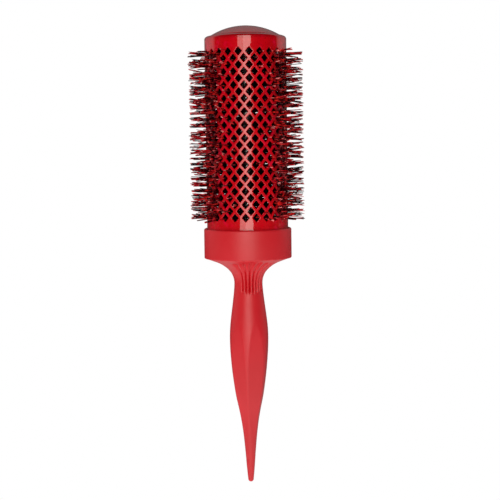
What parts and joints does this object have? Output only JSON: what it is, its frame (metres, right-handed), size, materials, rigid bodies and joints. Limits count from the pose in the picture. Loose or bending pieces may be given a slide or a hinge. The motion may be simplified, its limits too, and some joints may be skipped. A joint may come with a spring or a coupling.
{
  "type": "round barrel hair brush",
  "caption": "Round thermal hair brush: a perforated metal barrel with radial nylon bristles on a twisted wire core, a domed end cap, a collar and a faceted handle that tapers to a point.",
  "frame": {"origin": "on the brush's axis, at the middle of the grip where it is widest", "axes": "+Z along the axis from the handle's point to the domed end; -Y through the middle of one of the barrel's two strips without bristles, the front"},
  "size_m": [0.06, 0.0464, 0.2436],
  "materials": {
    "red_lacquered_metal": "glossy translucent red lacquer on a thin aluminium tube",
    "red_lacquered_cap": "glossy red lacquer, slightly softer than the barrel",
    "collar_soft_touch": "satin soft-touch coating",
    "grip_soft_touch": "satin soft-touch coating with a fine grain",
    "bristle_nylon": "translucent dark red nylon filaments with rounded tips",
    "root_nylon": "dark red nylon, packed filaments",
    "wire_steel": "bright drawn steel wire",
    "ferrule_steel": "drawn steel",
    "pin_steel": "plain steel",
    "core_plastic": "natural moulded polypropylene",
    "plug_plastic": "dark moulded nylon"
  },
  "bodies": {
    "root": {"barrel_tube": "red_lacquered_metal", "dome_cap": "red_lacquered_cap", "collar": "collar_soft_touch", "cap_plug": "plug_plastic", "grip_skin": "grip_soft_touch", "handle_core": "core_plastic", "tube_pin_1": "pin_steel", "tube_pin_2": "pin_steel", "core_wire_1": "wire_steel", "core_wire_2": "wire_steel", "base_ferrule": "ferrule_steel", "top_ferrule": "ferrule_steel", "filament_roots": "root_nylon", "bristle_row_01": "bristle_nylon", "bristle_row_02": "bristle_nylon", "bristle_row_03": "bristle_nylon", "bristle_row_04": "bristle_nylon", "bristle_row_05": "bristle_nylon", "bristle_row_06": "bristle_nylon", "bristle_row_07": "bristle_nylon", "bristle_row_08": "bristle_nylon", "bristle_row_09": "bristle_nylon", "bristle_row_10": "bristle_nylon", "bristle_row_11": "bristle_nylon", "bristle_row_12": "bristle_nylon", "bristle_row_13": "bristle_nylon", "bristle_row_14": "bristle_nylon", "bristle_row_15": "bristle_nylon", "bristle_row_16": "bristle_nylon", "bristle_row_17": "bristle_nylon", "bristle_row_18": "bristle_nylon", "bristle_row_19": "bristle_nylon", "bristle_row_20": "bristle_nylon", "bristle_row_21": "bristle_nylon", "bristle_row_22": "bristle_nylon", "bristle_row_23": "bristle_nylon", "bristle_row_24": "bristle_nylon", "bristle_row_25": "bristle_nylon", "bristle_row_26": "bristle_nylon", "bristle_row_27": "bristle_nylon", "bristle_row_28": "bristle_nylon"}
  },
  "joints": []
}
